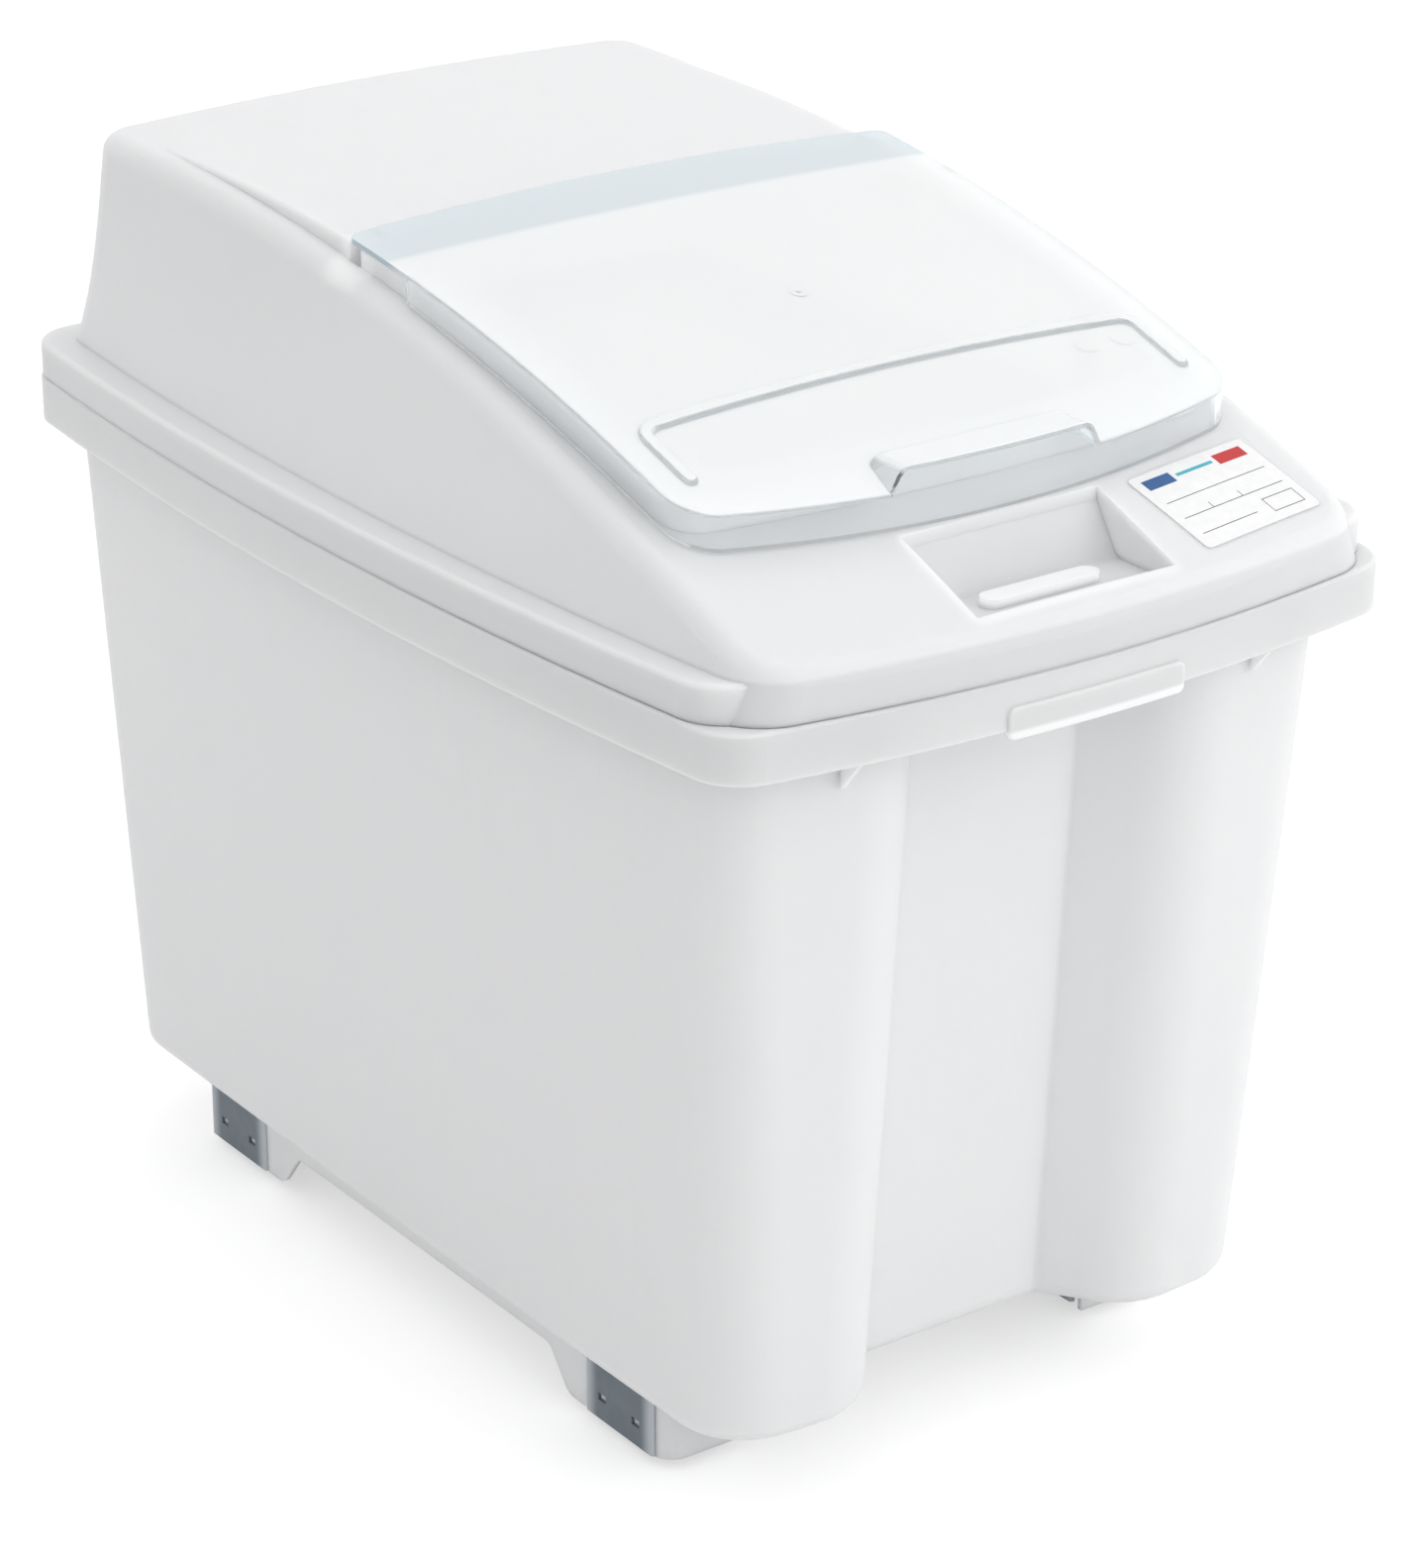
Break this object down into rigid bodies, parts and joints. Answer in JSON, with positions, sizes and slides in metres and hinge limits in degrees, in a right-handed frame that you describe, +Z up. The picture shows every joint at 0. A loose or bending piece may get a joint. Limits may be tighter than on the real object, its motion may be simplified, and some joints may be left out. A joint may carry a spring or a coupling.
{
  "type": "rolling ingredient bin",
  "caption": "Tall white plastic ingredient bin with a sloped hood, a clear hinged scoop cover, a recessed front and small wheels set in its feet.",
  "frame": {"origin": "on the floor, under the middle of the bin's overall length and width", "axes": "+X to the right as seen from the front, the front faces -Y, +Z up"},
  "size_m": [0.456, 0.702, 0.6127],
  "materials": {
    "tub": "milky white polypropylene, satin, faintly translucent",
    "lid": "white polypropylene, satin",
    "cover": "clear polycarbonate, polished, with a cool tint",
    "label": "plain film label",
    "pin": "drawn steel",
    "cap": "black nylon",
    "carrier": "blue-grey moulded nylon",
    "axle": "drawn steel",
    "hub": "grey moulded nylon",
    "tyre": "dark grey thermoplastic rubber"
  },
  "bodies": {
    "tub": {"tub_shell": "tub", "axle_caps": "cap", "wheel_carrier_front_left": "carrier", "wheel_carrier_front_right": "carrier", "wheel_carrier_rear_left": "carrier", "wheel_carrier_rear_right": "carrier", "axle_front_left": "axle", "axle_front_right": "axle", "axle_rear_left": "axle", "axle_rear_right": "axle"},
    "lid": {"lid_hood": "lid", "lid_label": "label", "cover_pin_left": "pin", "cover_pin_right": "pin"},
    "cover": {"clear_cover": "cover"},
    "wheel_front_left": {"wheel_hub_front_left": "hub", "wheel_tyre_front_left": "tyre"},
    "wheel_front_right": {"wheel_hub_front_right": "hub", "wheel_tyre_front_right": "tyre"},
    "wheel_rear_left": {"wheel_hub_rear_left": "hub", "wheel_tyre_rear_left": "tyre"},
    "wheel_rear_right": {"wheel_hub_rear_right": "hub", "wheel_tyre_rear_right": "tyre"}
  },
  "joints": [
    {"name": "lid_lift", "type": "slide", "parent": "tub", "child": "lid", "axis": [0, 0, 1], "range_m": [0, 0.15]},
    {"name": "cover_hinge", "type": "hinge", "parent": "lid", "child": "cover", "pos_m": [0, 0.049, 0.6015], "axis": [-1, 0, 0], "range_deg": [0, 118]},
    {"name": "wheel_spin_front_left", "type": "hinge", "parent": "tub", "child": "wheel_front_left", "pos_m": [-0.141, -0.174, 0.02], "axis": [1, 0, 0], "continuous": true},
    {"name": "wheel_spin_front_right", "type": "hinge", "parent": "tub", "child": "wheel_front_right", "pos_m": [0.141, -0.174, 0.02], "axis": [1, 0, 0], "continuous": true},
    {"name": "wheel_spin_rear_left", "type": "hinge", "parent": "tub", "child": "wheel_rear_left", "pos_m": [-0.141, 0.22, 0.02], "axis": [1, 0, 0], "continuous": true},
    {"name": "wheel_spin_rear_right", "type": "hinge", "parent": "tub", "child": "wheel_rear_right", "pos_m": [0.141, 0.22, 0.02], "axis": [1, 0, 0], "continuous": true}
  ]
}
